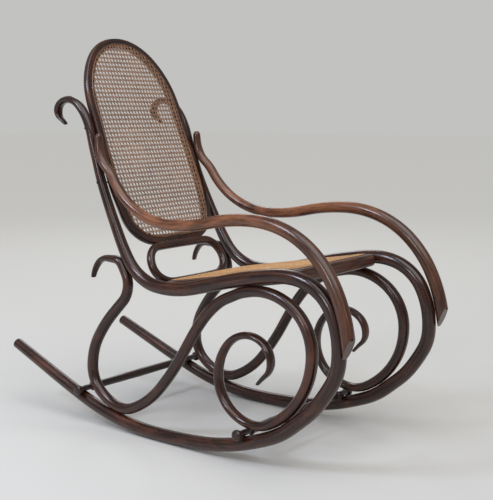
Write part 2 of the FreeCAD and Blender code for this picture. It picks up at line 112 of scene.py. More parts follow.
def polished_beech(name, dark, middle, worn, wear, gloss, turned=False, worn_span_shaded_beyond=None):
    """Steam-bent beech, stained and French polished: streaks along the grain, hand wear, soft gloss.

    The span given last marks where hands or legs rub the rod, which stays lighter there; beyond it the
    colour is darkened towards the dark stain, with fewer worn patches, as painted shade: the start, full
    start, full end and end, in metres along it.
    """
    material, tree, shader = new_material(name)
    grain = grain_of(tree, turned)
    blend = {"data_type": "RGBA"}
    darken = {"data_type": "RGBA", "blend_type": "MULTIPLY"}
    # stain lies in streaks some 3 mm wide and 100 mm long
    streaks = streaks_along(tree, grain, (300, 300, 9), 4, 0.6, 0.4)
    # beech's own fibre, 0.8 mm wide, drawn coarse enough to be seen
    fibre = streaks_along(tree, grain, (1100, 1100, 30), 3, 0.6)
    # polish worn through in patches a hand or so long
    patches = streaks_along(tree, grain, (26, 26, 7), 4, 0.62, 0.6)
    stain = add_node(tree, "ShaderNodeValToRGB", inputs={"Fac": streaks},
                     stops=((0.30, dark), (0.52, middle), (0.78, worn)))
    fine = add_node(tree, "ShaderNodeValToRGB", inputs={"Fac": fibre}, stops=((0.35, 0.55), (0.62, 1.0)))
    base = add_node(tree, "ShaderNodeMix", darken, {
        "Factor": 0.45, 6: stain.outputs["Color"], 7: fine.outputs["Color"]}).outputs[2]
    bare = add_node(tree, "ShaderNodeValToRGB", inputs={"Fac": fibre}, stops=((0.3, middle), (0.65, worn)))
    mask = add_node(tree, "ShaderNodeValToRGB", inputs={"Fac": patches},
                    stops=((1 - wear - 0.12, 0.0), (1 - wear + 0.10, 1.0))).outputs["Color"]
    if worn_span_shaded_beyond:
        run = add_node(tree, "ShaderNodeAttribute", {"attribute_name": "rod_along"})
        worn_middle_shaded_ends = add_node(tree, "ShaderNodeValToRGB", inputs={"Fac": run.outputs["Fac"]},
                          stops=tuple(zip(worn_span_shaded_beyond, (0.0, 1.0, 1.0, 0.0)))).outputs["Color"]
        # painted shade: beyond the worn span the colour is darkened halfway to the dark stain
        painted_shade_tone = add_node(tree, "ShaderNodeMix", blend, {"Factor": 0.5, 6: base, 7: srgb(dark)})
        base = add_node(tree, "ShaderNodeMix", blend, {
            "Factor": worn_middle_shaded_ends, 6: painted_shade_tone.outputs[2], 7: base}).outputs[2]
        # most worn patches are held back there too, so that the painted shade stays dark
        shaded_end_patches = add_node(tree, "ShaderNodeMix", blend, {"Factor": 0.75, 6: mask, 7: (0, 0, 0, 1)})
        mask = add_node(tree, "ShaderNodeMix", blend, {
            "Factor": worn_middle_shaded_ends, 6: shaded_end_patches.outputs[2], 7: mask}).outputs[2]
    colour = add_node(tree, "ShaderNodeMix", blend, {
        "Factor": mask, 6: base, 7: bare.outputs["Color"]}).outputs[2]
    tree.links.new(colour, shader.inputs["Base Color"])
    rough = add_node(tree, "ShaderNodeMapRange", inputs={
        "Value": patches, "From Min": 0.3, "From Max": 0.75, "To Min": gloss - 0.06, "To Max": gloss + 0.12})
    tree.links.new(rough.outputs["Result"], shader.inputs["Roughness"])
    dents = streaks_along(tree, grain, (60, 60, 22), 2, 0.5)
    height = add_node(tree, "ShaderNodeMath", {"operation": "MULTIPLY_ADD"}, {0: dents, 1: 2.2, 2: fibre})
    bump = add_node(tree, "ShaderNodeBump", inputs={
        "Strength": 0.16, "Distance": 0.0004, "Height": height.outputs[0]})
    tree.links.new(bump.outputs["Normal"], shader.inputs["Normal"])
    tree.links.new(bump.outputs["Normal"], shader.inputs["Coat Normal"])
    shader.inputs["IOR"].default_value = 1.52
    shader.inputs["Specular IOR Level"].default_value = 0.38
    shader.inputs["Coat Weight"].default_value = 0.3
    shader.inputs["Coat Roughness"].default_value = 0.13
    return material


dark_beech = polished_beech("french_polished_beech", "#0F0707", "#2B130B", "#633420", 0.38, 0.25)
# the armrest: lighter along its middle, where hands wear it, and darkened at both ends, where it bends down
# at the stile and at the front, as painted shade
worn_and_shaded_beech = polished_beech("hand_worn_beech_painted_shade", "#170A07", "#452315", "#9A6240", 0.54, 0.29,
                              worn_span_shaded_beyond=(0.06, 0.28, 0.60, 0.86))
turned_beech = polished_beech("turned_beech", "#0E0706", "#261009", "#4A2515", 0.30, 0.30, turned=True)


def arc_points(start, tangent, end, step):
    """Points of the arc that leaves start along tangent and reaches end, without its last point."""
    chord = end - start
    turn = math.atan2(tangent.x * chord.y - tangent.y * chord.x, tangent.dot(chord))
    if abs(turn) < 1e-5:
        count = max(1, round(chord.length / step))
        return [start + chord * (i / count) for i in range(count)], chord.length
    radius = chord.length / (2 * math.sin(turn))
    centre = start + Vector((-tangent.y, tangent.x)) * radius
    count = max(2, round(abs(2 * turn * radius) / step))
    points = []
    for i in range(count):
        angle = 2 * turn * i / count
        arm = start - centre
        points.append(centre + Vector((arm.x * math.cos(angle) - arm.y * math.sin(angle),
                                       arm.x * math.sin(angle) + arm.y * math.cos(angle))))
    return points, abs(2 * turn * radius)


def heading_of(angle):
    return Vector((math.cos(math.radians(angle)), math.sin(math.radians(angle))))


def bent(stations, step=5.0, closed=False):
    """Point, radius and width of section, in mm, all along a line bent by two arcs between stations.

    A station is (y, z, heading in degrees, radius); a fifth value is how many times wider than
    thick the section is there, and without it the section is round.
    """
    line = []
    for first, second in zip(stations[:-1], stations[1:]):
        low = Vector((*first, 1.0)[3:5])
        high = Vector((*second, 1.0)[3:5])
        start, end = Vector(first[:2]), Vector(second[:2])
        leave, arrive = heading_of(first[2]), heading_of(second[2])
        chord = end - start
        both = leave + arrive
        spread = 2 * (1 - leave.dot(arrive))
        if spread < 1e-9:
            reach = chord.dot(chord) / (2 * chord.dot(both))
        else:
            root = math.sqrt(chord.dot(both) ** 2 + spread * chord.dot(chord))
            reach = (root - chord.dot(both)) / spread
        before, after = start + leave * reach, end - arrive * reach
        points, length = arc_points(start, leave, (before + after) / 2, step)
        more, rest = arc_points((before + after) / 2, (after - before).normalized(), end, step)
        total = length + rest
        for i, point in enumerate(points):
            line.append((point, *low.lerp(high, length / total * i / len(points))))
        for i, point in enumerate(more):
            line.append((point, *low.lerp(high, (length + rest * i / len(more)) / total)))
    if not closed:
        line.append((Vector(stations[-1][:2]), *high))
    return line


def rounded(line, depth):
    """Softens both ends of a rod over that depth in mm, as a rasp would."""
    def cap(last, inner):
        end, radius, wide = last
        out = (end - inner[0]).normalized()
        return [(end - out * depth * (1 - math.sin(a)), radius - depth * (1 - math.cos(a)), wide)
                for a in (0.0, 0.5, 1.0, 1.35, math.pi / 2)]
    low = cap(line[0], line[1])[::-1]
    high = cap(line[-1], line[-2])
    return low + line[1:-1] + high


def path_object(name, line, closed=False):
    """The line as loose edges in the local YZ plane, in metres, with each point's section."""
    mesh = bpy.data.meshes.new(name)
    points = [(0.0, p.x / 1000, p.y / 1000) for p, r, w in line]
    edges = [(i, i + 1) for i in range(len(points) - 1)]
    if closed:
        edges.append((len(points) - 1, 0))
    mesh.from_pydata(points, edges, [])
    radius = mesh.attributes.new("rod_radius", "FLOAT", "POINT")
    spread = mesh.attributes.new("rod_wide", "FLOAT", "POINT")
    for i, (p, r, w) in enumerate(line):
        radius.data[i].value = r / 1000
        spread.data[i].value = w
    piece = bpy.data.objects.new(name, mesh)
    bpy.context.scene.collection.objects.link(piece)
    return piece


def rod_tree():
    """Geometry Nodes tree: a rod of round or squared section that follows a bend line."""
    tree = bpy.data.node_groups.new("bent_rod", "GeometryNodeTree")
    face = tree.interface
    face.new_socket("Geometry", in_out="OUTPUT", socket_type="NodeSocketGeometry")
    face.new_socket("Bend Line", in_out="INPUT", socket_type="NodeSocketGeometry")
    for name, kind, value in (("Sides", "NodeSocketInt", 28), ("Squareness", "NodeSocketFloat", 1.0),
                              ("Planed At", "NodeSocketFloat", 1.0), ("Billet", "NodeSocketFloat", 0.0),
                              ("Finish", "NodeSocketMaterial", None)):
        socket = face.new_socket(name, in_out="INPUT", socket_type=kind)
        if value is not None:
            socket.default_value = value
    start = add_node(tree, "NodeGroupInput")
    curve = add_node(tree, "GeometryNodeMeshToCurve", inputs={"Mesh": start.outputs["Bend Line"]})
    single = {"data_type": "FLOAT"}
    triple = {"data_type": "FLOAT_VECTOR"}
    on_points = {"data_type": "FLOAT_VECTOR", "domain": "POINT"}
    radius = add_node(tree, "GeometryNodeInputNamedAttribute", single, {"Name": "rod_radius"})
    length = add_node(tree, "GeometryNodeSplineParameter").outputs["Length"]
    along = add_node(tree, "GeometryNodeStoreNamedAttribute", {"data_type": "FLOAT", "domain": "POINT"}, {
        "Geometry": curve.outputs["Curve"], "Name": "rod_along", "Value": length})
    ring = add_node(tree, "GeometryNodeCurvePrimitiveCircle", {"mode": "RADIUS"}, {
        "Resolution": start.outputs["Sides"], "Radius": 1.0})
    # a round section, squared towards a soft-cornered board as Squareness falls
    corner = add_node(tree, "GeometryNodeInputPosition").outputs["Position"]
    parts = add_node(tree, "ShaderNodeSeparateXYZ", inputs={0: corner})
    squared = []
    for axis in ("X", "Y"):
        size = add_node(tree, "ShaderNodeMath", {"operation": "ABSOLUTE"}, {0: parts.outputs[axis]})
        power = add_node(tree, "ShaderNodeMath", {"operation": "POWER"}, {
            0: size.outputs[0], 1: start.outputs["Squareness"]})
        sign = add_node(tree, "ShaderNodeMath", {"operation": "SIGN"}, {0: parts.outputs[axis]})
        signed = add_node(tree, "ShaderNodeMath", {"operation": "MULTIPLY"}, {
            0: power.outputs[0], 1: sign.outputs[0]})
        squared.append(signed.outputs[0])
    section = add_node(tree, "ShaderNodeCombineXYZ", inputs={"X": squared[0], "Y": squared[1]})
    profile = add_node(tree, "GeometryNodeSetPosition", inputs={
        "Geometry": ring.outputs["Curve"], "Position": section.outputs[0]})
    profile = add_node(tree, "GeometryNodeStoreNamedAttribute", on_points, {
        "Geometry": profile.outputs[0], "Name": "rod_section", "Value": corner})
    sweep = add_node(tree, "GeometryNodeCurveToMesh", inputs={
        "Curve": along.outputs[0], "Profile Curve": profile.outputs[0], "Fill Caps": True})
    if "Scale" in sweep.inputs:
        tree.links.new(radius.outputs["Attribute"], sweep.inputs["Scale"])
    else:
        sized = add_node(tree, "GeometryNodeSetCurveRadius", inputs={
            "Curve": along.outputs[0], "Radius": radius.outputs["Attribute"]})
        tree.links.new(sized.outputs[0], sweep.inputs["Curve"])
    wide = add_node(tree, "GeometryNodeInputNamedAttribute", {"data_type": "FLOAT"}, {"Name": "rod_wide"})
    place = add_node(tree, "ShaderNodeSeparateXYZ", inputs={
        0: add_node(tree, "GeometryNodeInputPosition").outputs["Position"]})
    across = add_node(tree, "ShaderNodeMath", {"operation": "MULTIPLY"}, {
        0: place.outputs["X"], 1: wide.outputs["Attribute"]})
    planed = add_node(tree, "ShaderNodeMath", {"operation": "MINIMUM"}, {
        0: across.outputs[0], 1: start.outputs["Planed At"]})
    moved = add_node(tree, "ShaderNodeCombineXYZ", inputs={
        "X": planed.outputs[0], "Y": place.outputs["Y"], "Z": place.outputs["Z"]})
    shaped = add_node(tree, "GeometryNodeSetPosition", inputs={
        "Geometry": sweep.outputs["Mesh"], "Position": moved.outputs[0]})
    section = add_node(tree, "GeometryNodeInputNamedAttribute", triple, {"Name": "rod_section"})
    run = add_node(tree, "GeometryNodeInputNamedAttribute", {"data_type": "FLOAT"}, {"Name": "rod_along"})
    in_metres = add_node(tree, "ShaderNodeVectorMath", {"operation": "SCALE"}, {
        0: section.outputs["Attribute"], "Scale": radius.outputs["Attribute"]})
    split = add_node(tree, "ShaderNodeSeparateXYZ", inputs={0: in_metres.outputs[0]})
    lengthwise = add_node(tree, "ShaderNodeMath", {"operation": "ADD"}, {
        0: run.outputs["Attribute"], 1: start.outputs["Billet"]})
    grain = add_node(tree, "ShaderNodeCombineXYZ", inputs={
        "X": split.outputs["X"], "Y": split.outputs["Y"], "Z": lengthwise.outputs[0]})
    shift = add_node(tree, "ShaderNodeVectorMath", {"operation": "ADD"}, {
        0: grain.outputs[0], 1: start.outputs["Billet"]})
    stored = add_node(tree, "GeometryNodeStoreNamedAttribute", on_points, {
        "Geometry": shaped.outputs[0], "Name": "grain", "Value": shift.outputs[0]})
    smooth = add_node(tree, "GeometryNodeSetShadeSmooth", inputs={0: stored.outputs[0]})
    real = add_node(tree, "GeometryNodeRealizeInstances", inputs={0: smooth.outputs[0]})
    finish = add_node(tree, "GeometryNodeSetMaterial", inputs={
        "Geometry": real.outputs[0], "Material": start.outputs["Finish"]})
    add_node(tree, "NodeGroupOutput", inputs={"Geometry": finish.outputs[0]})
    return tree


def grown(piece, tree, values):
    """Runs a Geometry Nodes tree on the piece with these named inputs and keeps its plain mesh."""
    modifier = piece.modifiers.new("grow", "NODES")
    modifier.node_group = tree
    for socket in tree.interface.items_tree:
        if socket.in_out == "INPUT" and socket.name in values:
            modifier[socket.identifier] = values[socket.name]
    bpy.context.view_layer.update()
    mesh = bpy.data.meshes.new_from_object(piece.evaluated_get(bpy.context.evaluated_depsgraph_get()))
    piece.modifiers.clear()
    piece.data = mesh
    return piece


bent_rod = rod_tree()
SHIFT = Vector((0, 0.01594, 0))       # from the bend lines' origin to the middle of the chair's length
HALF_WIDTH = 0.226                    # a rocker's centre line from the middle of the chair
SIDE_LEAN = math.radians(2.1)         # each side leans in as it rises
AIR = 0.3                             # mm between two rods that meet

to_right = Matrix.Translation(SHIFT + Vector((-HALF_WIDTH, 0, 0))) @ Matrix.Rotation(SIDE_LEAN, 4, "Y")
to_left = Matrix.Scale(-1, 4, (1, 0, 0)) @ to_right


def side_rod_pair(name, line, billet, material, place=None, slice_at=None):
    """The same bent rod for both sides, each from its own billet."""
    for side, matrix in (("right", to_right), ("left", to_left)):
        piece = path_object(f"bentwood_{name}_{side}", line)
        grown(piece, bent_rod, {"Billet": billet + (0.0 if side == "right" else 5.3), "Finish": material})
        if slice_at:
            sliced(piece.data, *slice_at)
        piece.data.transform(matrix if place is None else matrix @ place)
        if side == "left":
            piece.data.flip_normals()
        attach(piece, "root")
        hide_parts(f"{name}_{side}")


def beside(station, radius, turn, sideways=0.0, back=False, wide=1.0):
    """Station of a rod that touches another: turn is +1 for its left side and -1 for its right."""
    reach = math.sqrt((station[3] + radius + AIR) ** 2 - sideways ** 2)
    spot = Vector(station[:2]) + heading_of(station[2] + 90 * turn) * reach
    return (spot.x, spot.y, station[2] + (180 if back else 0), radius, wide)


# from the curl behind the hoop, whose end is a flat tongue, to the tail
side_stations = [
    (362, 832, 40, 4.0, 1.9), (394, 868, 90, 8.0, 1.8), (352, 900, 180, 10.0, 1.5),
    (280, 850, 239, 12.0, 1.1), (240, 742, 250, 12.5), (229, 710, 251, 12.8), (171, 579, 243, 14.0),
    (111, 473, 235, 16.0), (44, 421, 202, 17.5), (-30, 410, 180, 18), (-206, 443, 165.5, 18),
    (-300, 465, 169, 18), (-415, 480, 180, 18), (-510, 450, 218, 18), (-563, 352, 260, 18),
    (-566, 300, 273, 18), (-515, 192, 307, 18), (-435, 117, 321, 18), (-303, 54, 342, 17.5),
    (0, 17.5, 360, 17.5), (152, 32, 371, 17.5), (285, 69, 379.5, 17), (575, 180, 381, 15)]
arm_joint, scroll_top, ring_top, arm_foot, ring_front, scroll_foot = 4, 7, 11, 14, 17, 20
side_rod_pair("side_rod", rounded(bent(side_stations), 2.5), 0.0, dark_beech)

scroll_stations = [
    (246, 412, 100, 4.0, 2.2), (190, 470, 180, 9.5, 1.6),
    beside(side_stations[scroll_top], 13, 1, wide=1.1),
    (112, 402, 272, 14, 1.05), (170, 318, 314, 15, 1.05), (247, 165, 270, 15, 1.05),
    beside(side_stations[scroll_foot], 14.5, 1, back=True),
    (38, 98, 145, 14.5), (-52, 192, 127, 14.5), (-117, 291, 122, 14.5), (-203, 391, 143, 14.5),
    (-262, 421, 156, 14), beside(side_stations[ring_top], 14, 1, wide=1.05),
    (-492, 297, 270, 14.5, 1.15), beside(side_stations[ring_front], 13.5, 1, wide=1.15),
    (-327, 103, 360, 11.5, 1.3), (-210, 215, 450, 10.5, 1.5), (-305, 324, 540, 9.0, 1.6),
    (-373, 265, 630, 8.0, 1.8), (-333, 207, 670, 4.0, 1.8)]
side_rod_pair("scroll", rounded(bent(scroll_stations), 2.0), 2.1, dark_beech)

# The armrest stands 5 mm outside the side rod at the stile and 12 mm outside it in front, where
# its lower end is sliced to die away along the side rod.
ARM_TOP_OUT, ARM_END_OUT = 5.0, 12.0
arm_top = beside(side_stations[arm_joint], 12.0, -1, ARM_TOP_OUT, wide=1.15)
arm_end = beside(side_stations[arm_foot], 17.0, -1, ARM_END_OUT)
arm_foot_point = Vector(arm_end[:2]) + heading_of(arm_end[2]) * 46
arm_stations = [
    (224, 808, 270, 6.0, 1.1), (224, 799, 270, 10.0, 1.15), arm_top, (165, 686, 237, 12.5, 1.2),
    (-45, 577, 180, 14.5, 1.05), (-310, 607, 180, 16.0), (-500, 538, 222, 17.0), arm_end,
    (*arm_foot_point, arm_end[2], 16.5)]
swing = math.atan2(ARM_END_OUT - ARM_TOP_OUT, arm_top[0] - arm_end[0])
pivot = Vector((0, arm_top[0] / 1000, 0))
arm_place = (Matrix.Translation(Vector((-ARM_TOP_OUT / 1000, 0, 0)) + pivot)
             @ Matrix.Rotation(-swing, 4, "Z") @ Matrix.Translation(-pivot))
slice_top = Vector(arm_end[:2]) + heading_of(arm_end[2] - 90) * 17.0 + Vector((0, 6))
slice_foot = arm_foot_point + heading_of(arm_end[2] + 90) * 15.0


def sliced(mesh, top, foot):
    """Cuts a rod off on its -Y side along the line from top to foot and closes the cut."""
    run = foot - top
    shape = bmesh.new()
    shape.from_mesh(mesh)
    cut = bmesh.ops.bisect_plane(shape, geom=shape.verts[:] + shape.edges[:] + shape.faces[:],
                                 plane_co=(0, top.x / 1000, top.y / 1000), plane_no=(0, run.y, -run.x),
                                 clear_outer=True)
    edges = [item for item in cut["geom_cut"] if isinstance(item, bmesh.types.BMEdge)]
    bmesh.ops.edgeloop_fill(shape, edges=edges)
    bmesh.ops.recalc_face_normals(shape, faces=shape.faces)
    shape.to_mesh(mesh)
    shape.free()


side_rod_pair("armrest", rounded(bent(arm_stations), 2.5), 3.7, worn_and_shaded_beech, arm_place,
              (slice_top, slice_foot))

# ---- the back: hoop, ring and cane ----
# One beech rod bent to a tall hoop and planed flat in front, where a groove takes the cane.
# A lower ring of thinner rod joins it to the seat.
HOOP_HEIGHT, HOOP_RADIUS, HOOP_LEAN = 596.0, 15.0, math.radians(22)
HOOP_HALF = 174.98
HOOP_FACE = 9.0                       # planed face in front of the rod's centre line
hoop_place = (Matrix.Translation(SHIFT + Vector((0, 0.132, 0.509)))
              @ Matrix.Rotation(-HOOP_LEAN, 4, "X") @ Matrix.Rotation(-math.pi / 2, 4, "Z"))


def loop_stations(half):
    """Both halves of a loop from the half on one side; the first and last stations are shared."""
    return half + [(-x, s, 360 - heading, radius) for x, s, heading, radius in half[-2::-1]]


def hoop_stations(radius):
    return loop_stations([
        (0, 0, 0, radius), (HOOP_HALF - 96, 3, 4, radius), (HOOP_HALF - 9, HOOP_HEIGHT * 0.14, 84, radius),
        (HOOP_HALF, HOOP_HEIGHT * 0.30, 90.5, radius), (HOOP_HALF - 7, HOOP_HEIGHT * 0.58, 92.5, radius),
        (HOOP_HALF - 10, HOOP_HEIGHT * 0.71, 96, radius), (0, HOOP_HEIGHT, 180, radius)])


hoop = path_object("bentwood_hoop", bent(hoop_stations(HOOP_RADIUS), closed=True), closed=True)
grown(hoop, bent_rod, {"Billet": 7.9, "Planed At": HOOP_FACE / 1000, "Finish": dark_beech})
hoop.data.transform(hoop_place)
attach(hoop, "root")
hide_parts("back_hoop")

# The ring: a thinner rod bent to a flat loop, leaning further back than the hoop.
RING_HEIGHT, RING_RADIUS, RING_HALF, RING_LEAN = 108.0, 11.5, 147.0, math.radians(28)
ring_top = Vector((132, 509)) + heading_of(205) * (HOOP_RADIUS + RING_RADIUS + AIR)
ring_foot = ring_top - Vector((math.sin(RING_LEAN), math.cos(RING_LEAN))) * RING_HEIGHT
ring_place = (Matrix.Translation(SHIFT + Vector((0, ring_foot.x / 1000, ring_foot.y / 1000)))
              @ Matrix.Rotation(-RING_LEAN, 4, "X") @ Matrix.Rotation(-math.pi / 2, 4, "Z"))
ring_stations = loop_stations([
    (0, 0, 0, RING_RADIUS), (RING_HALF - 60, 1, 2, RING_RADIUS),
    (RING_HALF, RING_HEIGHT * 0.5, 92, RING_RADIUS),
    (RING_HALF - 52, RING_HEIGHT - 1, 178, RING_RADIUS), (0, RING_HEIGHT, 180, RING_RADIUS)])
ring = path_object("bentwood_ring", bent(ring_stations, closed=True), closed=True)
grown(ring, bent_rod, {"Billet": 9.3, "Finish": dark_beech})
ring.data.transform(ring_place)
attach(ring, "root")
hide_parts("back_ring")


def inside(stations, depth):
    """The same loop, drawn in by that many mm."""
    return [(x - depth * math.cos(math.radians(h - 90)), s - depth * math.sin(math.radians(h - 90)), h, r)
            for x, s, h, r in stations]


# ---- cane ----
# Six-way caning, machine woven and pressed into a groove: pairs of upright and level strands of
# split rattan bark, and two slanting ones that turn each opening into an octagon.
STRAND_WIDE, STRAND_THICK = 0.0023, 0.0008
PAIR_HALF = 0.00135                   # each strand of a pair from the pair's middle
WAVE = 0.0007                         # how far a strand rises over the one it crosses


def cane_bark(name, pale, middle, aged):
    """Rattan bark: glossy straw skin with long fibres, darkened by age at random from strand to strand."""
    material, tree, shader = new_material(name)
    strand = add_node(tree, "ShaderNodeAttribute", {"attribute_name": "strand"}).outputs["Vector"]
    darken = {"data_type": "RGBA", "blend_type": "MULTIPLY"}
    tone = streaks_along(tree, strand, (1, 40, 37), 3, 0.6)
    # bark fibre 0.3 mm wide, drawn at about half a strand's width so that it shows
    fibre = streaks_along(tree, strand, (900, 22, 37), 3, 0.6)
    spot = add_node(tree, "ShaderNodeTexCoord").outputs["Object"]
    # clouds of old stain, a hand wide
    stain = add_node(tree, "ShaderNodeTexNoise", inputs={
        "Vector": spot, "Scale": 9.0, "Detail": 3, "Roughness": 0.55, "Distortion": 0.0}).outputs["Fac"]
    bark = add_node(tree, "ShaderNodeValToRGB", inputs={"Fac": tone},
                    stops=((0.32, aged), (0.5, middle), (0.72, pale)))
    streak = add_node(tree, "ShaderNodeValToRGB", inputs={"Fac": fibre}, stops=((0.35, 0.72), (0.65, 1.0)))
    streaked = add_node(tree, "ShaderNodeMix", darken, {
        "Factor": 0.6, 6: bark.outputs["Color"], 7: streak.outputs["Color"]})
    cloud = add_node(tree, "ShaderNodeValToRGB", inputs={"Fac": stain}, stops=((0.35, 0.74), (0.6, 1.0)))
    base = add_node(tree, "ShaderNodeMix", darken, {
        "Factor": 0.8, 6: streaked.outputs[2], 7: cloud.outputs["Color"]}).outputs[2]
    tree.links.new(base, shader.inputs["Base Color"])
    rough = add_node(tree, "ShaderNodeMapRange", inputs={"Value": tone, "To Min": 0.34, "To Max": 0.58})
    tree.links.new(rough.outputs["Result"], shader.inputs["Roughness"])
    bump = add_node(tree, "ShaderNodeBump", inputs={"Strength": 0.2, "Distance": 0.0002, "Height": fibre})
    tree.links.new(bump.outputs["Normal"], shader.inputs["Normal"])
    shader.inputs["IOR"].default_value = 1.5
    return material


back_bark = cane_bark("aged_rattan_bark", "#C9A284", "#A67D60", "#7A553F")
seat_bark = cane_bark("straw_rattan_bark", "#E6BE8C", "#CC9C68", "#9C7048")


def weave_tree():
    """Geometry Nodes tree: one direction of strands, woven up and down and trimmed to a panel's outline."""
    tree = bpy.data.node_groups.new("woven_strands", "GeometryNodeTree")
    face = tree.interface
    face.new_socket("Geometry", in_out="OUTPUT", socket_type="NodeSocketGeometry")
    face.new_socket("Outline", in_out="INPUT", socket_type="NodeSocketGeometry")
    for name, kind in (("Strands", "NodeSocketInt"), ("First Strand", "NodeSocketVector"),
                       ("Next Strand", "NodeSocketVector"), ("Half Run", "NodeSocketVector"),
                       ("Steps", "NodeSocketInt"), ("Pitch", "NodeSocketVector"),
                       ("Rise", "NodeSocketVector"),
                       ("Wave", "NodeSocketFloat"), ("Phase", "NodeSocketFloat"),
                       ("Width", "NodeSocketFloat"), ("Thickness", "NodeSocketFloat"),
                       ("Seed", "NodeSocketInt"), ("Finish", "NodeSocketMaterial")):
        face.new_socket(name, in_out="INPUT", socket_type=kind)
    start = add_node(tree, "NodeGroupInput")
    value = start.outputs
    edge = add_node(tree, "GeometryNodeMeshToCurve", inputs={"Mesh": value["Outline"]})
    panel = add_node(tree, "GeometryNodeFillCurve", {"mode": "NGONS"}, {0: edge.outputs[0]})
    begins = add_node(tree, "GeometryNodeMeshLine", {"mode": "OFFSET", "count_mode": "TOTAL"}, {
        "Count": value["Strands"], "Start Location": value["First Strand"], "Offset": value["Next Strand"]})
    back = add_node(tree, "ShaderNodeVectorMath", {"operation": "SCALE"}, {
        0: value["Half Run"], "Scale": -1.0})
    run = add_node(tree, "GeometryNodeCurvePrimitiveLine", {"mode": "POINTS"}, {
        "Start": back.outputs[0], "End": value["Half Run"]})
    many = add_node(tree, "GeometryNodeInstanceOnPoints", inputs={
        "Points": begins.outputs["Mesh"], "Instance": run.outputs["Curve"]})
    lines = add_node(tree, "GeometryNodeRealizeInstances", inputs={0: many.outputs[0]})
    fine = add_node(tree, "GeometryNodeResampleCurve", inputs={0: lines.outputs[0], "Count": value["Steps"]})
    spot = add_node(tree, "GeometryNodeInputPosition").outputs["Position"]
    away = add_node(tree, "GeometryNodeProximity", {"target_element": "FACES"}, {0: panel.outputs[0]})
    outside = add_node(tree, "ShaderNodeMath", {"operation": "GREATER_THAN"}, {
        0: away.outputs["Distance"], 1: 0.0001})
    trimmed = add_node(tree, "GeometryNodeDeleteGeometry", {"domain": "POINT"}, {
        0: fine.outputs[0], "Selection": outside.outputs[0]})
    cell = add_node(tree, "ShaderNodeVectorMath", {"operation": "DIVIDE"}, {0: spot, 1: value["Pitch"]})
    turn = add_node(tree, "ShaderNodeVectorMath", {"operation": "DOT_PRODUCT"}, {
        0: cell.outputs[0], 1: value["Rise"]})
    turns = add_node(tree, "ShaderNodeMath", {"operation": "ADD"}, {
        0: turn.outputs["Value"], 1: value["Phase"]})
    angle = add_node(tree, "ShaderNodeMath", {"operation": "MULTIPLY"}, {
        0: turns.outputs[0], 1: 2 * math.pi})
    swing = add_node(tree, "ShaderNodeMath", {"operation": "SINE"}, {0: angle.outputs[0]})
    height = add_node(tree, "ShaderNodeMath", {"operation": "MULTIPLY"}, {
        0: swing.outputs[0], 1: value["Wave"]})
    lift = add_node(tree, "ShaderNodeCombineXYZ", inputs={"Z": height.outputs[0]})
    woven = add_node(tree, "GeometryNodeSetPosition", inputs={
        0: trimmed.outputs[0], "Offset": lift.outputs[0]})
    upright = add_node(tree, "GeometryNodeSetCurveNormal", {"mode": "Z_UP"}, {0: woven.outputs[0]})
    length = add_node(tree, "GeometryNodeSplineParameter").outputs["Length"]
    chance = add_node(tree, "FunctionNodeRandomValue", {"data_type": "FLOAT"}, {
        "Seed": value["Seed"], "ID": add_node(tree, "GeometryNodeInputIndex").outputs[0]})
    tagged = add_node(tree, "GeometryNodeStoreNamedAttribute", {"data_type": "FLOAT", "domain": "CURVE"}, {
        0: upright.outputs[0], "Name": "strand_chance", "Value": chance.outputs[1]})
    measured = add_node(tree, "GeometryNodeStoreNamedAttribute", {"data_type": "FLOAT", "domain": "POINT"}, {
        0: tagged.outputs[0], "Name": "strand_along", "Value": length})
    ring = add_node(tree, "GeometryNodeCurvePrimitiveCircle", {"mode": "RADIUS"}, {
        "Resolution": 6, "Radius": 0.5})
    around = add_node(tree, "GeometryNodeInputPosition").outputs["Position"]
    size = add_node(tree, "ShaderNodeCombineXYZ", inputs={
        "X": value["Thickness"], "Y": value["Width"], "Z": 1.0})
    flat = add_node(tree, "ShaderNodeVectorMath", {"operation": "MULTIPLY"}, {0: around, 1: size.outputs[0]})
    bark = add_node(tree, "GeometryNodeSetPosition", inputs={
        0: ring.outputs[0], "Position": flat.outputs[0]})
    on_points = {"data_type": "FLOAT_VECTOR", "domain": "POINT"}
    sided = add_node(tree, "GeometryNodeStoreNamedAttribute", on_points, {
        0: bark.outputs[0], "Name": "strand_side", "Value": flat.outputs[0]})
    swept = add_node(tree, "GeometryNodeCurveToMesh", inputs={
        "Curve": measured.outputs[0], "Profile Curve": sided.outputs[0], "Fill Caps": True})
    single = {"data_type": "FLOAT"}
    across = add_node(tree, "GeometryNodeInputNamedAttribute", {"data_type": "FLOAT_VECTOR"}, {
        "Name": "strand_side"})
    side = add_node(tree, "ShaderNodeSeparateXYZ", inputs={0: across.outputs[0]})
    along = add_node(tree, "GeometryNodeInputNamedAttribute", single, {"Name": "strand_along"})
    luck = add_node(tree, "GeometryNodeInputNamedAttribute", single, {"Name": "strand_chance"})
    label = add_node(tree, "ShaderNodeCombineXYZ", inputs={
        "X": side.outputs["Y"], "Y": along.outputs[0], "Z": luck.outputs[0]})
    stored = add_node(tree, "GeometryNodeStoreNamedAttribute", on_points, {
        0: swept.outputs[0], "Name": "strand", "Value": label.outputs[0]})
    smooth = add_node(tree, "GeometryNodeSetShadeSmooth", inputs={0: stored.outputs[0]})
    real = add_node(tree, "GeometryNodeRealizeInstances", inputs={0: smooth.outputs[0]})
    finish = add_node(tree, "GeometryNodeSetMaterial", inputs={
        0: real.outputs[0], "Material": value["Finish"]})
    add_node(tree, "NodeGroupOutput", inputs={"Geometry": finish.outputs[0]})
    return tree


woven_strands = weave_tree()


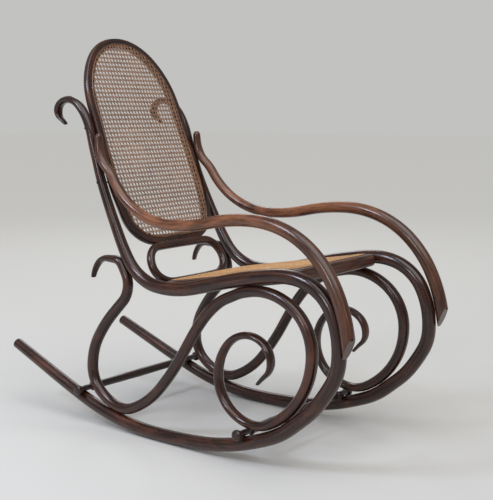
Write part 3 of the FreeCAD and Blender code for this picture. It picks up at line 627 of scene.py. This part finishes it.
def caned_panel(name, node, outline, middle, half, pitch, place, bark, seed):
    """A panel of six-way cane inside an outline; each direction of strands is a piece of its own."""
    px, py = pitch
    rows, columns = int(half.y / py) + 2, int(half.x / px) + 2
    upright = (0.0, 1.0, 0.0)
    level = (1.0, 0.0, 0.0)
    slant = (1.0, 0.0, 0.0)
    families = []
    for pair, sign in (("first", -1), ("second", 1)):
        aside = sign * PAIR_HALF
        families.append((f"upright_{pair}", 2 * columns, (-(columns - 0.5) * px + aside, 0), (px, 0),
                         (0, rows * py), 12 * rows + 1, upright, sign * WAVE, -0.5))
        families.append((f"level_{pair}", 2 * rows, (0, -(rows - 0.5) * py + aside), (0, py),
                         (columns * px, 0), 12 * columns + 1, level, -sign * WAVE, -0.5))
    reach = rows + columns
    for way, sign in (("rising", 1), ("falling", -1)):
        families.append((f"slanting_{way}", 2 * reach, (-(reach - 0.5) * px, 0), (px, 0),
                         (sign * rows * px, rows * py), 12 * rows + 1, slant, sign * 1.1 * WAVE, 0.25))
    for number, (family, count, first, step, run, steps, rise, wave, phase) in enumerate(families):
        mesh = bpy.data.meshes.new(name)
        points = [(p.x / 1000, p.y / 1000, 0.0) for p, r, w in outline]
        mesh.from_pydata(points, [(i, (i + 1) % len(points)) for i in range(len(points))], [])
        mesh.transform(Matrix.Translation((0, -middle, 0)))
        piece = bpy.data.objects.new(f"{name}_{family}", mesh)
        bpy.context.scene.collection.objects.link(piece)
        grown(piece, woven_strands, {
            "Strands": count, "First Strand": (*first, 0.0), "Next Strand": (*step, 0.0),
            "Half Run": (*run, 0.0), "Steps": steps, "Pitch": (px, py, 1.0), "Rise": rise, "Wave": wave,
            "Phase": phase, "Width": STRAND_WIDE, "Thickness": STRAND_THICK, "Seed": seed + number,
            "Finish": bark})
        # the panel is drawn flat, facing up; it is turned to stand in its frame
        flat = Matrix(((0, 0, 1, 0), (1, 0, 0, 0), (0, 1, 0, 0), (0, 0, 0, 1)))
        piece.data.transform(place @ flat @ Matrix.Translation((0, middle, 0)))
        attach(piece, "root")
        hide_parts(node)


cane_line = bent(inside(hoop_stations(0), 6.0), closed=True)
caned_panel("back_cane", "back_cane", cane_line, HOOP_HEIGHT / 2000, Vector((0.17, 0.29)), (0.0121, 0.0133),
            hoop_place @ Matrix.Translation(((HOOP_FACE + 0.9) / 1000, 0, 0)), back_bark, 11)


# Reed spline: a round-topped strip of rattan core, hammered into the groove over the cane's ends.
def pressed_reed(name, node, stations, place, height, material):
    line = [(p, 2.1, 1.25) for p, r, w in bent(stations, closed=True)]
    piece = path_object(name, line, closed=True)
    grown(piece, bent_rod, {"Sides": 14, "Finish": material})
    piece.data.transform(place @ Matrix.Translation((height / 1000, 0, 0)))
    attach(piece, "root")
    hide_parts(node)


rattan_core = polished_beech("stained_rattan_core", "#3C2417", "#5E3D28", "#8A6444", 0.40, 0.45)
pressed_reed("back_reed", "back_cane_spline", inside(hoop_stations(0), 5.0), hoop_place, HOOP_FACE - 0.6,
             rattan_core)

# ---- the seat ----
# A bent board with rounded edges, screwed between the side rods; the cane lies in a groove in its top.
# Its edges are rubbed to an orange brown by the sitter's legs.
board_beech = polished_beech("leg_worn_beech", "#1A0C08", "#3C1D11", "#8A4F2E", 0.36, 0.34)
SEAT_DEPTH, SEAT_THICK, SEAT_RAIL, SEAT_TILT = 490.0, 32.0, 34.0, math.radians(10)
seat_top = 480 + 18 - 1.0
seat_drop = (seat_top - ring_foot.y) * math.sin(SEAT_TILT)
seat_front = ring_foot.x - (SEAT_DEPTH + RING_RADIUS + AIR - seat_drop) / math.cos(SEAT_TILT)
lean_slope = math.tan(SIDE_LEAN)
front_half = 226 - 480 * lean_slope - 18 - AIR
rear_half = 226 - 421 * lean_slope - 18 - AIR
seat_place = (Matrix.Translation(SHIFT + Vector((0, seat_front / 1000, seat_top / 1000)))
              @ Matrix.Rotation(-math.pi / 2 - SEAT_TILT, 4, "X") @ Matrix.Rotation(-math.pi / 2, 4, "Z"))
seat_stations = loop_stations([
    (0, 0, 0, 0), (front_half - 46, 5, 5, 0), (front_half, 54, 90, 0), (rear_half, SEAT_DEPTH - 80, 90, 0),
    (rear_half - 76, SEAT_DEPTH - 2, 176, 0), (0, SEAT_DEPTH, 180, 0)])
board_line = [(p, SEAT_RAIL / 2, SEAT_THICK / SEAT_RAIL)
              for p, r, w in bent(inside(seat_stations, SEAT_RAIL / 2), closed=True)]
board = path_object("bentwood_seat_board", board_line, closed=True)
grown(board, bent_rod, {"Sides": 40, "Squareness": 0.42, "Billet": 12.4, "Finish": board_beech})
board.data.transform(seat_place @ Matrix.Translation((-SEAT_THICK / 2000, 0, 0)))
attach(board, "root")
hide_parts("seat_frame")

seat_cane_line = bent(inside(seat_stations, 23.0), closed=True)
caned_panel("seat_cane", "seat_cane", seat_cane_line, SEAT_DEPTH / 2000, Vector((0.18, 0.23)),
            (0.0124, 0.0124), seat_place @ Matrix.Translation((0.0009, 0, 0)), seat_bark, 31)
pressed_reed("seat_reed", "seat_cane_spline", inside(seat_stations, 22.0), seat_place, -0.6, rattan_core)

# ---- stretchers and screws ----
# Turned beech bars that lie on both rockers and end in knobs; slotted steel wood screws, darkened.
for node in ("front_stretcher", "rear_stretcher"):
    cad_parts[node].data.materials.clear()
    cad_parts[node].data.materials.append(turned_beech)

# iron wood screws, blued and gone brown with age
old_iron, tree, shader = new_material("browned_iron")
shader.inputs["Base Color"].default_value = srgb("#4A3E36")
shader.inputs["Metallic"].default_value = 1.0
shader.inputs["Roughness"].default_value = 0.42
for joint in ("arm", "scroll", "hoop", "back_ring", "seat", "stretcher"):
    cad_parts[f"{joint}_screws"].data.materials.clear()
    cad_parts[f"{joint}_screws"].data.materials.append(old_iron)

# ---- floor and light ----
# A plain pale floor in a pale room, under one wide even light.  A window and a smaller one on the
# sitter's right draw highlights along the rods, and a weak light behind lifts their far edges.
floor_mesh = bpy.data.meshes.new("floor")
floor_mesh.from_pydata([(-30, -30, 0), (30, -30, 0), (30, 30, 0), (-30, 30, 0)], [], [(0, 1, 2, 3)])
floor = bpy.data.objects.new("floor", floor_mesh)
bpy.context.scene.collection.objects.link(floor)
plaster, tree, shader = new_material("pale_floor")
shader.inputs["Base Color"].default_value = srgb("#CBCAC7")
shader.inputs["Roughness"].default_value = 0.8
floor.data.materials.append(plaster)

for name, spot, size, power, tint in (
        ("window", (-2.9, 1.0, 3.2), 1.0, 60, "#DFE9FF"),
        ("side_window", (-3.2, -0.6, 1.6), 0.7, 18, "#F4F6FF"),
        ("rim", (3.0, 2.6, 3.0), 1.6, 20, "#FFFFFF")):
    light_data = bpy.data.lights.new(name, "AREA")
    light_data.shape = "DISK"
    light_data.size = size
    light_data.energy = power
    light_data.color = srgb(tint)[:3]
    light = bpy.data.objects.new(name, light_data)
    bpy.context.scene.collection.objects.link(light)
    light.location = spot
    light.rotation_euler = (Vector((0, 0, 0.5)) - Vector(spot)).to_track_quat("-Z", "Y").to_euler()

# a very wide, even light that does not fall off across the floor
overhead_data = bpy.data.lights.new("overhead", "SUN")
overhead_data.energy = 2.0
overhead_data.angle = math.radians(60)
overhead = bpy.data.objects.new("overhead", overhead_data)
bpy.context.scene.collection.objects.link(overhead)
overhead.rotation_euler = (math.radians(22), math.radians(-14), 0)

# the room: pale grey all round, and a backdrop as bright as the floor
world = bpy.data.worlds.new("room")
bpy.context.scene.world = world
world.use_nodes = True
seen_directly = add_node(world.node_tree, "ShaderNodeLightPath").outputs["Is Camera Ray"]
room = add_node(world.node_tree, "ShaderNodeMix", {"data_type": "RGBA"}, {
    "Factor": seen_directly, 6: srgb("#9C9C9B"), 7: srgb("#C2C2C0")})
world.node_tree.links.new(room.outputs[2], world.node_tree.nodes["Background"].inputs["Color"])
bpy.context.scene.view_settings.view_transform = "Standard"
